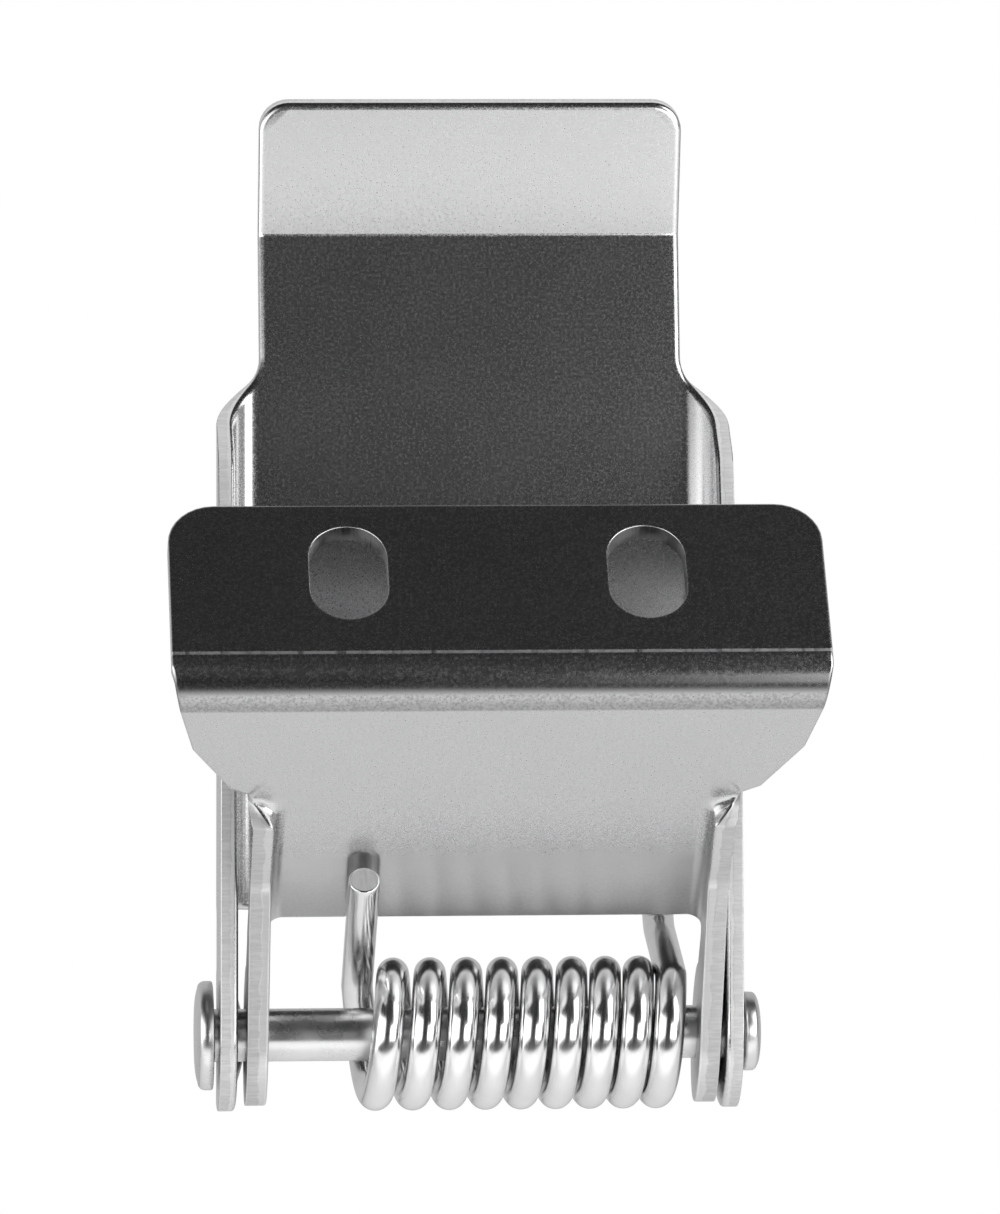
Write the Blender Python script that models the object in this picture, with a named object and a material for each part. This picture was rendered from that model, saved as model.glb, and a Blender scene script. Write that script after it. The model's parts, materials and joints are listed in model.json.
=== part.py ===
"""Sprung mounting clip: a slotted bracket, a swinging leaf, a hinge rivet and a double-leg
torsion spring.

The two sheet pieces are made the way a press shop makes them: a flat blank is cut out, its
thickness is given to it, the bend zones are divided, and every point is then carried round
the bends. The origin is the middle of the mounting flange's outer face, +Z is up along the
leaf and -Y is the side that the flange faces.
"""

import math

import bmesh
import bpy
from mathutils import Matrix, Vector

MM = 0.001

# ---- Driving dimensions, millimetres and degrees ----

# Hinge and rivet. Side view coordinates (y, z) are taken from the hinge axis.
SHANK_R = 1.5
HOLE_R = 1.59
FACTORY_HEAD_R = 3.1
FORMED_HEAD_R = 2.25
HEAD_THICK = 1.0
HEAD_GAP = 0.3

# Leaf: a channel with a narrower upper arm and a tip bent towards the flange.
LEAF_T = 1.0
LEAF_HALF = 14.8
LEAF_BEND_R = 1.6
LEAF_FRONT_Y = 3.7
LEAF_FOOT_Z = 7.5
LEAF_ARM_HALF = 12.2
LEAF_SHOULDER_Z = 38.5
LEAF_WALL_TOP_Z = 33.2
LEAF_WALL_FULL_Z = 15.0
LEAF_NECK_Y = 1.7
LEAF_EYE_R = 4.3
TIP_BEND_Z = 46.4
TIP_BEND_R = 0.5
TIP_ANGLE = 26.0
TIP_LENGTH = 7.8
TIP_CORNER_R = 1.7

# Bracket: a plate that rises towards the front, a flange at 90 degrees to it and two ears.
BRACKET_T = 1.2
BRACKET_LEAN = 32.0
PLATE_OFFSET = 4.6
PLATE_START = 4.9
FLANGE_FACE = 26.3
FLANGE_TOP = 17.4
FLANGE_HALF = 18.25
FLANGE_BEND_R = 1.2
FLANGE_CORNER_R = 2.6
WING_KNEE = (17.0, 20.5)
WING_FOOT = (14.8, 16.9)
WING_END = 26.0
EAR_HALF = 13.5
EAR_BEND_R = 0.8
EAR_EYE_R = 4.0
EAR_SKIRT = 1.4
EAR_SKIRT_ENDS = (9.8, 15.3)
EAR_TOP = 16.3
EAR_RELEASE = 1.3
EAR_FILLET = 1.0
SLOT_CENTRE_X = 8.3
SLOT_BELOW_TOP = 4.85
SLOT_WIDTH = 4.35
SLOT_HEIGHT = 6.5
GROOVE_R = 1.0
GROOVE_DEPTH = 0.45
GROOVE_END = 11.4

# Spring: nine front crossings, wound a little tighter towards the right.
WIRE_R = 0.9
COIL_R = 3.45
COIL_TURNS_SEEN = 9
FIRST_CROSSING_X = -5.67
FIRST_PITCH = 2.14
PITCH_LOSS = 0.0186
LEFT_LEG_LENGTH = 10.05
RIGHT_LEG_RISE = 25.0
RIGHT_LEG_BACK_Y = 6.0
RIGHT_LEG_BEND_R = 1.8
RIGHT_LEG_TOP_Z = 13.5

# Facet counts.
BEND_STEPS = 7
HOLE_SIDES = 32
WIRE_SIDES = 10
COIL_STEPS = 20

LEAN = math.radians(BRACKET_LEAN)
PLATE_DIR = Vector((0.0, -math.cos(LEAN), math.sin(LEAN)))
PLATE_NORMAL = Vector((0.0, math.sin(LEAN), math.cos(LEAN)))
FLANGE_RADIUS_OUT = FLANGE_BEND_R + BRACKET_T
FLANGE_BEND_START = FLANGE_FACE - FLANGE_RADIUS_OUT
FLANGE_BEND_ARC = (FLANGE_BEND_R + BRACKET_T / 2) * math.pi / 2
FLANGE_FLAT_N = PLATE_OFFSET + FLANGE_RADIUS_OUT
BLANK_TOP = FLANGE_BEND_START + FLANGE_BEND_ARC + FLANGE_TOP - FLANGE_FLAT_N
SLOT_V = BLANK_TOP - SLOT_BELOW_TOP
SLOT_N = FLANGE_TOP - SLOT_BELOW_TOP
ORIGIN_FROM_HINGE = FLANGE_FACE * PLATE_DIR + SLOT_N * PLATE_NORMAL
HINGE = -ORIGIN_FROM_HINGE * MM


# ---- Outline helpers ----

def arc(centre, radius, start_deg, end_deg, steps):
    """Points on an arc, both ends included."""
    points = []
    for step in range(steps + 1):
        angle = math.radians(start_deg + (end_deg - start_deg) * step / steps)
        points.append((centre[0] + radius * math.cos(angle), centre[1] + radius * math.sin(angle)))
    return points


def circle(centre, radius):
    return arc(centre, radius, 0.0, 360.0, HOLE_SIDES)[:-1]


def slot_outline(centre):
    """An upright slot with round ends."""
    radius = SLOT_WIDTH / 2
    reach = SLOT_HEIGHT / 2 - radius
    top = arc((centre[0], centre[1] + reach), radius, 0.0, 180.0, 10)
    bottom = arc((centre[0], centre[1] - reach), radius, 180.0, 360.0, 10)
    return top + bottom


def tangent_angle(point, centre, radius, side):
    """Polar angle, in degrees, of the point where a line from an outside point meets a circle."""
    dx = point[0] - centre[0]
    dy = point[1] - centre[1]
    opening = math.acos(radius / math.hypot(dx, dy))
    return math.degrees(math.atan2(dy, dx) + side * opening)


def mirrored(right_half):
    """Closes a right half, listed from the foot up to the top, with its mirror image."""
    left_half = [(-u, v) for u, v in reversed(right_half)]
    return right_half + left_half


# ---- Sheet metal ----

def blank_solid(outlines, thickness):
    """A flat plate from an outer outline and holes, from w = 0 to w = thickness."""
    bm = bmesh.new()
    for outline in outlines:
        corners = [bm.verts.new((u, v, 0.0)) for u, v in outline]
        for index, corner in enumerate(corners):
            bm.edges.new((corners[index - 1], corner))
    bmesh.ops.triangle_fill(bm, edges=bm.edges[:], use_beauty=True, normal=(0.0, 0.0, 1.0))
    copy = bmesh.ops.extrude_face_region(bm, geom=bm.faces[:], use_keep_orig=True)
    raised = [item for item in copy["geom"] if isinstance(item, bmesh.types.BMVert)]
    bmesh.ops.translate(bm, verts=raised, vec=(0.0, 0.0, thickness))
    return bm


def divide(bm, axis, first, last):
    """Cuts the blank along the lines that bound and divide one bend zone."""
    direction = Vector((1.0, 0.0, 0.0)) if axis == "u" else Vector((0.0, 1.0, 0.0))
    for step in range(BEND_STEPS + 1):
        place = first + (last - first) * step / BEND_STEPS
        geometry = bm.verts[:] + bm.edges[:] + bm.faces[:]
        bmesh.ops.bisect_plane(bm, geom=geometry, plane_co=direction * place, plane_no=direction)


def sheet_object(name, bm, place_point, material):
    """Carries every point of the divided blank round the bends and makes the object."""
    for vert in bm.verts:
        vert.co = place_point(*vert.co) * MM
    bmesh.ops.remove_doubles(bm, verts=bm.verts[:], dist=1e-7)
    bmesh.ops.triangulate(bm, faces=bm.faces[:])
    bmesh.ops.recalc_face_normals(bm, faces=bm.faces[:])
    return finish_object(name, bm, material)


def finish_object(name, bm, material):
    mesh = bpy.data.meshes.new(name)
    bm.to_mesh(mesh)
    bm.free()
    mesh.shade_smooth()
    mesh.set_sharp_from_angle(angle=math.radians(35.0))
    mesh.materials.append(material)
    part = bpy.data.objects.new(name, mesh)
    part.location = HINGE
    bpy.context.scene.collection.objects.link(part)
    return part


def metal(name, colour, roughness):
    material = bpy.data.materials.new(name)
    material.use_nodes = True
    shader = material.node_tree.nodes["Principled BSDF"]
    shader.inputs["Base Color"].default_value = (*colour, 1.0)
    shader.inputs["Metallic"].default_value = 1.0
    shader.inputs["Roughness"].default_value = roughness
    return material


# ---- Leaf ----

LEAF_FLAT_HALF = LEAF_HALF - LEAF_T - LEAF_BEND_R
LEAF_BEND_ARC = (LEAF_BEND_R + LEAF_T / 2) * math.pi / 2
LEAF_WALL_U = LEAF_FLAT_HALF + LEAF_BEND_ARC
LEAF_BEND_Y = LEAF_FRONT_Y - LEAF_BEND_R
LEAF_EYE_U = LEAF_WALL_U + LEAF_BEND_Y
TIP_BEND_ARC = (TIP_BEND_R + LEAF_T / 2) * math.radians(TIP_ANGLE)


def leaf_outline():
    """Right half: foot edge, neck, eye, wall front edge, shoulder, arm and tip."""
    eye = (LEAF_EYE_U, 0.0)
    neck_u = LEAF_EYE_U - LEAF_NECK_Y
    neck_angle = 180.0 - math.degrees(math.acos(LEAF_NECK_Y / LEAF_EYE_R))
    points = [(neck_u - 0.4, LEAF_FOOT_Z), (neck_u, LEAF_FOOT_Z - 0.4)]
    points += arc(eye, LEAF_EYE_R, neck_angle, 360.0, 26)
    points.append((LEAF_EYE_U + LEAF_EYE_R, LEAF_WALL_FULL_Z))
    wall_top_u = LEAF_ARM_HALF + LEAF_SHOULDER_Z - LEAF_WALL_TOP_Z
    points.append((wall_top_u, LEAF_WALL_TOP_Z))
    points.append((LEAF_ARM_HALF, LEAF_SHOULDER_Z))
    top = TIP_BEND_Z + TIP_BEND_ARC + TIP_LENGTH
    corner = (LEAF_ARM_HALF - TIP_CORNER_R, top - TIP_CORNER_R)
    points += arc(corner, TIP_CORNER_R, 0.0, 90.0, 6)
    return mirrored(points)


def leaf_point(u, v, w):
    """Place of a blank point: w runs from the front face to the back face."""
    side = math.copysign(1.0, u)
    past_flat = abs(u) - LEAF_FLAT_HALF
    on_tab = v < LEAF_FOOT_Z - 1.5
    if past_flat > LEAF_BEND_ARC - 1e-6 or (on_tab and past_flat > 0.0):
        wall_x = LEAF_FLAT_HALF + LEAF_BEND_R + w
        return Vector((side * wall_x, LEAF_BEND_Y - (past_flat - LEAF_BEND_ARC), v))
    if past_flat > 0.0:
        turn = past_flat / (LEAF_BEND_R + LEAF_T / 2)
        radius = LEAF_BEND_R + w
        across = LEAF_FLAT_HALF + radius * math.sin(turn)
        return Vector((side * across, LEAF_BEND_Y + radius * math.cos(turn), v))
    past_tip_line = v - TIP_BEND_Z
    if past_tip_line <= 0.0:
        return Vector((u, LEAF_FRONT_Y + w, v))
    turn = min(past_tip_line / (TIP_BEND_R + LEAF_T / 2), math.radians(TIP_ANGLE))
    straight = max(past_tip_line - TIP_BEND_ARC, 0.0)
    radius = TIP_BEND_R + w
    back = LEAF_FRONT_Y - TIP_BEND_R + radius * math.cos(turn) - straight * math.sin(turn)
    height = TIP_BEND_Z + radius * math.sin(turn) + straight * math.cos(turn)
    return Vector((u, back, height))


def make_leaf(material):
    holes = [circle((side * LEAF_EYE_U, 0.0), HOLE_R) for side in (-1.0, 1.0)]
    bm = blank_solid([leaf_outline()] + holes, LEAF_T)
    divide(bm, "u", LEAF_FLAT_HALF, LEAF_WALL_U)
    divide(bm, "u", -LEAF_WALL_U, -LEAF_FLAT_HALF)
    divide(bm, "v", TIP_BEND_Z, TIP_BEND_Z + TIP_BEND_ARC)
    return sheet_object("leaf", bm, leaf_point, material)


# ---- Bracket ----

EAR_FLAT_HALF = EAR_HALF - BRACKET_T - EAR_BEND_R
EAR_BEND_ARC = (EAR_BEND_R + BRACKET_T / 2) * math.pi / 2
EAR_WALL_U = EAR_FLAT_HALF + EAR_BEND_ARC
EAR_BEND_N = PLATE_OFFSET - EAR_BEND_R
EAR_EYE_U = EAR_WALL_U + EAR_BEND_N


def bracket_outline():
    """Right half: plate foot, neck, eye, ear front, skirt, relief, wing and flange."""
    eye = (EAR_EYE_U, 0.0)
    skirt_u = EAR_EYE_U - PLATE_OFFSET + EAR_SKIRT
    skirt_corner = (skirt_u, EAR_SKIRT_ENDS[0])
    neck_angle = 180.0 - BRACKET_LEAN - 4.0
    front_angle = tangent_angle(skirt_corner, eye, EAR_EYE_R, -1.0)
    fillet_centre = (EAR_WALL_U - 0.7, PLATE_START - EAR_FILLET)
    points = arc(fillet_centre, EAR_FILLET, 90.0, 0.0, 5)
    points += arc(eye, EAR_EYE_R, neck_angle, 360.0 + front_angle, 26)
    points.append(skirt_corner)
    points.append((skirt_u, EAR_SKIRT_ENDS[1]))
    points.append((EAR_WALL_U - 0.1, EAR_TOP))
    points.append(WING_FOOT)
    points.append(WING_KNEE)
    points.append((FLANGE_HALF, WING_END))
    corner = (FLANGE_HALF - FLANGE_CORNER_R, BLANK_TOP - FLANGE_CORNER_R)
    points += arc(corner, FLANGE_CORNER_R, 0.0, 90.0, 8)
    return mirrored(points)


def side_place(x, along, normal):
    """A point from its X and its distances along the plate and square to it."""
    return Vector((x, 0.0, 0.0)) + along * PLATE_DIR + normal * PLATE_NORMAL


def bracket_point(u, v, w):
    """Place of a blank point: w runs from the plate's underside to its upper side."""
    side = math.copysign(1.0, u)
    past_flat = abs(u) - EAR_FLAT_HALF
    if v > FLANGE_BEND_START:
        past_line = v - FLANGE_BEND_START
        turn = min(past_line / (FLANGE_BEND_R + BRACKET_T / 2), math.pi / 2)
        straight = max(past_line - FLANGE_BEND_ARC, 0.0)
        radius = FLANGE_RADIUS_OUT - w
        along = FLANGE_BEND_START + radius * math.sin(turn)
        return side_place(u, along, FLANGE_FLAT_N - radius * math.cos(turn) + straight)
    flat = side_place(u, v, PLATE_OFFSET + w)
    if past_flat <= 0.0 or v > EAR_TOP:
        return flat
    on_tab = v < PLATE_START - 1.6
    if past_flat > EAR_BEND_ARC - 1e-6 or on_tab:
        ear_x = EAR_FLAT_HALF + EAR_BEND_R + w
        bent = side_place(side * ear_x, v, EAR_BEND_N - (past_flat - EAR_BEND_ARC))
    else:
        turn = past_flat / (EAR_BEND_R + BRACKET_T / 2)
        radius = EAR_BEND_R + w
        across = EAR_FLAT_HALF + radius * math.sin(turn)
        bent = side_place(side * across, v, EAR_BEND_N + radius * math.cos(turn))
    release = max(0.0, 1.0 - (EAR_TOP - v) / EAR_RELEASE)
    return bent.lerp(flat, release * release * (3.0 - 2.0 * release))


def spring_groove(bracket):
    """A pressed groove for the spring's left leg, cut with a round-ended bar."""
    bar = bmesh.new()
    length = GROOVE_END - PLATE_START + 4.0
    bmesh.ops.create_cone(bar, cap_ends=True, segments=24, radius1=GROOVE_R * MM,
                          radius2=GROOVE_R * MM, depth=length * MM)
    middle = GROOVE_END - length / 2
    centre = side_place(leg_x(), middle, PLATE_OFFSET + GROOVE_DEPTH - GROOVE_R)
    turn = PLATE_DIR.to_track_quat("Z", "X").to_matrix().to_4x4()
    bmesh.ops.transform(bar, matrix=Matrix.Translation(centre * MM) @ turn, verts=bar.verts[:])
    mesh = bpy.data.meshes.new("groove_cutter")
    bar.to_mesh(mesh)
    bar.free()
    cutter = bpy.data.objects.new("groove_cutter", mesh)
    cutter.location = HINGE
    cutter.hide_render = True
    cutter.display_type = "WIRE"
    bpy.context.scene.collection.objects.link(cutter)
    groove = bracket.modifiers.new("Groove", "BOOLEAN")
    groove.operation = "DIFFERENCE"
    groove.object = cutter


def make_bracket(material):
    holes = [circle((side * EAR_EYE_U, 0.0), HOLE_R) for side in (-1.0, 1.0)]
    slots = [slot_outline((side * SLOT_CENTRE_X, SLOT_V)) for side in (-1.0, 1.0)]
    bm = blank_solid([bracket_outline()] + holes + slots, BRACKET_T)
    divide(bm, "u", EAR_FLAT_HALF, EAR_WALL_U)
    divide(bm, "u", -EAR_WALL_U, -EAR_FLAT_HALF)
    divide(bm, "v", FLANGE_BEND_START, FLANGE_BEND_START + FLANGE_BEND_ARC)
    divide(bm, "v", EAR_TOP - EAR_RELEASE, EAR_TOP)
    bracket = sheet_object("bracket", bm, bracket_point, material)
    spring_groove(bracket)
    return bracket


# ---- Rivet ----

def make_rivet(material):
    """A turned pin: the factory head on the left, the head formed over on the right."""
    seat = LEAF_HALF + HEAD_GAP
    end = seat + HEAD_THICK
    profile = [(-end, 0.0), (-end, FACTORY_HEAD_R - 0.5)]
    profile += [(-end + 0.4 - 0.4 * math.cos(math.radians(a)),
                 FACTORY_HEAD_R - 0.5 + 0.5 * math.sin(math.radians(a))) for a in (30, 60, 90)]
    profile += [(-seat, FACTORY_HEAD_R), (-seat, SHANK_R), (seat, SHANK_R), (seat, FORMED_HEAD_R - 0.2)]
    profile += [(seat + 0.2, FORMED_HEAD_R), (seat + 0.6, FORMED_HEAD_R)]
    profile += [(seat + 0.6 + 0.4 * math.sin(math.radians(a)),
                 FORMED_HEAD_R - 0.7 + 0.7 * math.cos(math.radians(a))) for a in (30, 60, 90)]
    profile.append((end, 0.0))
    bm = bmesh.new()
    verts = [bm.verts.new((x * MM, 0.0, r * MM)) for x, r in profile]
    edges = [bm.edges.new(pair) for pair in zip(verts, verts[1:])]
    bmesh.ops.spin(bm, geom=verts + edges, cent=(0.0, 0.0, 0.0), axis=(1.0, 0.0, 0.0),
                   angle=math.tau, steps=HOLE_SIDES, use_merge=True)
    bmesh.ops.remove_doubles(bm, verts=bm.verts[:], dist=1e-7)
    bmesh.ops.triangulate(bm, faces=bm.faces[:])
    bmesh.ops.recalc_face_normals(bm, faces=bm.faces[:])
    return finish_object("hinge_rivet", bm, material)


# ---- Spring ----

def coil_x(turn_deg):
    """X of the wire at a wound angle; 270 degrees is the first front crossing."""
    turns = (turn_deg - 270.0) / 360.0
    return FIRST_CROSSING_X + FIRST_PITCH * turns - PITCH_LOSS * turns * turns


def leg_x():
    return coil_x(BRACKET_LEAN)


def coil_point(turn_deg):
    """0 degrees is the top of the coil, 90 the back, 180 the bottom, 270 the front."""
    angle = math.radians(turn_deg)
    return Vector((coil_x(turn_deg), COIL_R * math.sin(angle), COIL_R * math.cos(angle)))


def spring_path():
    """Left leg along the plate, the turns, then the right leg back and up behind the leaf."""
    start = coil_point(BRACKET_LEAN)
    path = [start + PLATE_DIR * LEFT_LEG_LENGTH, start + PLATE_DIR * (LEFT_LEG_LENGTH / 2)]
    end_deg = 360.0 * COIL_TURNS_SEEN - RIGHT_LEG_RISE
    steps = round((end_deg - BRACKET_LEAN) / 360.0 * COIL_STEPS)
    for step in range(steps + 1):
        path.append(coil_point(BRACKET_LEAN + (end_deg - BRACKET_LEAN) * step / steps))
    rise = math.radians(RIGHT_LEG_RISE)
    heading = Vector((0.0, math.cos(rise), math.sin(rise)))
    reach = (RIGHT_LEG_BACK_Y - path[-1].y) / heading.y
    corner = path[-1] + heading * reach
    setback = RIGHT_LEG_BEND_R * math.tan((math.pi / 2 - rise) / 2)
    centre = corner + Vector((0.0, -RIGHT_LEG_BEND_R, setback))
    for step in range(6):
        angle = rise - math.pi / 2 + (math.pi / 2 - rise) * step / 5
        offset = Vector((0.0, math.cos(angle), math.sin(angle)))
        path.append(centre + offset * RIGHT_LEG_BEND_R)
    path.append(Vector((corner.x, corner.y, RIGHT_LEG_TOP_Z)))
    return path


def make_spring(material):
    """A round wire swept along the path, with square-cut ends."""
    path = [point * MM for point in spring_path()]
    bm = bmesh.new()
    rings = []
    for index, point in enumerate(path):
        ahead = path[min(index + 1, len(path) - 1)]
        behind = path[max(index - 1, 0)]
        tangent = (ahead - behind).normalized()
        across = Vector((1.0, 0.0, 0.0)) - tangent * tangent.x
        across.normalize()
        third = tangent.cross(across)
        ring = []
        for side in range(WIRE_SIDES):
            angle = math.tau * side / WIRE_SIDES
            offset = across * math.cos(angle) + third * math.sin(angle)
            ring.append(bm.verts.new(point + offset * WIRE_R * MM))
        rings.append(ring)
    for first, second in zip(rings, rings[1:]):
        for side in range(WIRE_SIDES):
            after = (side + 1) % WIRE_SIDES
            bm.faces.new((first[side], first[after], second[after], second[side]))
    bm.faces.new(rings[0][::-1])
    bm.faces.new(rings[-1])
    bmesh.ops.triangulate(bm, faces=bm.faces[:])
    bmesh.ops.recalc_face_normals(bm, faces=bm.faces[:])
    return finish_object("torsion_spring", bm, material)


def main():
    for thing in list(bpy.data.objects):
        bpy.data.objects.remove(thing, do_unlink=True)
    sheet = metal("plated_sheet", (0.60, 0.60, 0.61), 0.32)
    wire = metal("plated_wire", (0.68, 0.68, 0.69), 0.16)
    pin = metal("plated_pin", (0.64, 0.64, 0.65), 0.28)
    make_bracket(sheet)
    make_leaf(sheet)
    make_rivet(pin)
    make_spring(wire)


main()
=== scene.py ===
"""Sprung mounting clip: the looks of its bracket, leaf, rivet and torsion spring.

The bracket and the leaf are made the way a press shop makes them. A flat blank with rolled-over
and sheared edges is cut out, divided along its bends and carried round them. The spring is one
wire swept along its route by a node tree.
Sizes are in metres, in the frame's own axes.
"""

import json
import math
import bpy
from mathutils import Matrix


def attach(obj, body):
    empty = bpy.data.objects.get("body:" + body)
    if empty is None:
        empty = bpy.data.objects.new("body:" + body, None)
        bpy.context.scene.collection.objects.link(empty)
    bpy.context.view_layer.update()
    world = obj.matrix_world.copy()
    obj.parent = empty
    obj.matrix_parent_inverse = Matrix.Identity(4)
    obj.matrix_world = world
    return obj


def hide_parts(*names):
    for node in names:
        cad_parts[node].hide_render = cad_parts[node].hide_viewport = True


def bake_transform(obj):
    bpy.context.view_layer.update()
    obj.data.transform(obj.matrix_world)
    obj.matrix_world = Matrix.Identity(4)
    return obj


bl_info = {
    "name": "Sprung mounting clip",
    "version": (1, 0, 0),
    "blender": (4, 5, 0),
    "location": "View3D > Sidebar > Clip",
    "description": "Builds a plated sprung mounting clip: bracket, leaf, rivet and torsion spring",
    "category": "Add Mesh",
}

import bmesh
import bpy
from bpy.props import FloatProperty, FloatVectorProperty, IntProperty, PointerProperty
from mathutils import Matrix, Vector, noise

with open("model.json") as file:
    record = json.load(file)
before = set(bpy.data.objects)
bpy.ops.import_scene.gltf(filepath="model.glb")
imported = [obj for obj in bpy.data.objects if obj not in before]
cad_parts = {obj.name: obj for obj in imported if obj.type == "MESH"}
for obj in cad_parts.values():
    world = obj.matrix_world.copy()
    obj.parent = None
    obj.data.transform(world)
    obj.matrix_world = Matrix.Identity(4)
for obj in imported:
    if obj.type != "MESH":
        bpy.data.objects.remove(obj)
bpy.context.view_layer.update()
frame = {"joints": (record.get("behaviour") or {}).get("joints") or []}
HINGE = Vector(frame["joints"][0]["pos_m"])
MM = 0.001


# ---- Kinds of setting ----

def length(name, description, default_mm):
    """A size in metres, whose default is given in millimetres."""
    return FloatProperty(name=name, description=description, default=default_mm * MM,
                         precision=5, unit="LENGTH")


def angle(name, description, default_deg):
    return FloatProperty(name=name, description=description, default=math.radians(default_deg),
                         unit="ROTATION")


def share(name, description, default):
    return FloatProperty(name=name, description=description, default=default, min=0.0, max=1.0,
                         subtype="FACTOR")


def colour(name, description, default):
    return FloatVectorProperty(name=name, description=description, default=default, size=3,
                               min=0.0, max=1.0, subtype="COLOR")


def count(name, description, default):
    return IntProperty(name=name, description=description, default=default, min=1)


# ---- Settings ----

class LeafSettings(bpy.types.PropertyGroup):
    thickness: length("Sheet", "Thickness of the leaf's sheet", 1.0)
    half_width: length("Half width", "From the middle to the side walls' outer faces", 14.8)
    bend_radius: length("Bend radius", "Inner radius of the side bends", 1.6)
    front_y: length("Front face", "Distance of the front face behind the hinge", 3.7)
    foot_z: length("Foot edge", "Height of the lower edge above the hinge", 7.5)
    arm_half: length("Arm half width", "Half width of the narrow arm", 12.2)
    shoulder_z: length("Shoulder", "Height at which the arm begins to widen", 38.5)
    wall_top_z: length("Wall top", "Height at which the shoulder meets the walls' front edge", 33.2)
    wall_full_z: length("Full wall", "Height below which the walls have their full depth", 15.0)
    neck_y: length("Neck", "Distance of the neck's rear edge behind the hinge", 1.7)
    eye_radius: length("Eye", "Radius of the eyes round the rivet", 4.3)
    hole_radius: length("Hole", "Radius of the rivet holes", 1.59)
    tip_bend_z: length("Tip bend", "Height of the tip's bend line", 46.4)
    tip_bend_radius: length("Tip bend radius", "Inner radius of the tip's bend", 0.5)
    tip_angle: angle("Tip angle", "How far the tip leans forward", 26.0)
    tip_length: length("Tip length", "Length of the tip above its bend", 7.8)
    tip_corner: length("Tip corner", "Radius of the tip's corners", 1.7)
    shoulder_round: length("Shoulder rounding", "Radius of the shoulder's curves", 2.2)
    drift: length("Drift", "How far the eyes stand to the left of the arm's middle", 0.35)
    roll_width: length("Roll width", "Width of the rolled-over rim on the front face", 0.40)
    roll_depth: length("Roll depth", "Depth of the rolled-over rim", 0.24)
    burr: length("Burr", "Rounding of the rear rim", 0.05)


class BracketSettings(bpy.types.PropertyGroup):
    thickness: length("Sheet", "Thickness of the bracket's sheet", 1.2)
    lean: angle("Lean", "How far the flange leans back", 32.0)
    plate_offset: length("Plate offset", "From the hinge to the plate's underside", 4.6)
    plate_start: length("Plate foot", "Distance of the plate's foot edge along the plate", 4.9)
    flange_face: length("Flange face", "Distance of the flange's outer face along the plate", 26.3)
    flange_top: length("Flange top", "Distance of the flange's top edge square to the plate", 17.4)
    flange_half: length("Flange half width", "Half width of the flange", 18.25)
    flange_bend: length("Flange bend", "Inner radius of the flange's bend", 1.2)
    flange_corner: length("Flange corner", "Radius of the flange's top corners", 2.6)
    knee_u: length("Wing knee across", "Half width of the wing at its knee", 17.0)
    knee_v: length("Wing knee along", "Distance of the knee along the plate", 20.5)
    foot_u: length("Wing foot across", "Half width of the wing at its foot", 14.8)
    foot_v: length("Wing foot along", "Distance of the wing's foot along the plate", 16.9)
    wing_end: length("Wing end", "Distance at which the wing has the flange's full width", 26.0)
    ear_half: length("Ear half width", "From the middle to the ears' outer faces", 13.5)
    ear_bend: length("Ear bend", "Inner radius of the ears' bends", 0.8)
    eye_radius: length("Eye", "Radius of the eyes round the rivet", 4.0)
    hole_radius: length("Hole", "Radius of the rivet holes", 1.59)
    skirt: length("Skirt", "Depth of the ears' front edge below the plate's underside", 1.4)
    skirt_low: length("Skirt foot", "Distance along the plate at which the skirt begins", 9.8)
    skirt_high: length("Skirt head", "Distance along the plate at which the skirt ends", 15.3)
    ear_top: length("Ear top", "Distance along the plate at which the ears are sheared off", 16.3)
    ear_release: length("Ear release", "Length over which the ears run out of the plate", 1.3)
    ear_fillet: length("Ear fillet", "Radius between the plate's foot and the ears", 1.0)
    slot_x: length("Slot centre", "From the middle to each slot's centre", 8.3)
    slot_drop: length("Slot drop", "From the top edge to the slots' centres", 4.85)
    slot_width: length("Slot width", "Width of the screw slots", 4.35)
    slot_height: length("Slot height", "Height of the screw slots", 6.5)
    groove_radius: length("Groove radius", "Radius of the spring groove", 1.0)
    groove_depth: length("Groove depth", "Depth of the spring groove", 0.45)
    groove_end: length("Groove end", "Distance of the groove's end along the plate", 11.4)
    left_lean: angle("Left ear's lean", "How far the left ear leans to the left", 1.2)
    right_lean: angle("Right ear's lean", "How far the right ear leans to the left", 3.0)
    tear: length("Tear", "Roughness of the torn corners at the ears' tops", 0.09)
    roll_width: length("Roll width", "Width of the rolled-over rim on the outer face", 0.18)
    roll_depth: length("Roll depth", "Depth of the rolled-over rim", 0.14)
    burr: length("Burr", "Rounding of the inner rim", 0.05)


class RivetSettings(bpy.types.PropertyGroup):
    shank_radius: length("Shank", "Radius of the rivet's shank", 1.5)
    seat: length("Seat", "From the middle to the underside of each head", 15.1)
    head_thickness: length("Head thickness", "Thickness of both heads", 1.0)
    factory_radius: length("Factory head", "Radius of the left, pressed head", 3.1)
    formed_radius: length("Formed head", "Radius of the right, formed head", 2.25)
    drift: length("Drift", "How far the rivet sits to the left", 0.35)
    facets: count("Facets", "Facets round the rivet", 96)


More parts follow.
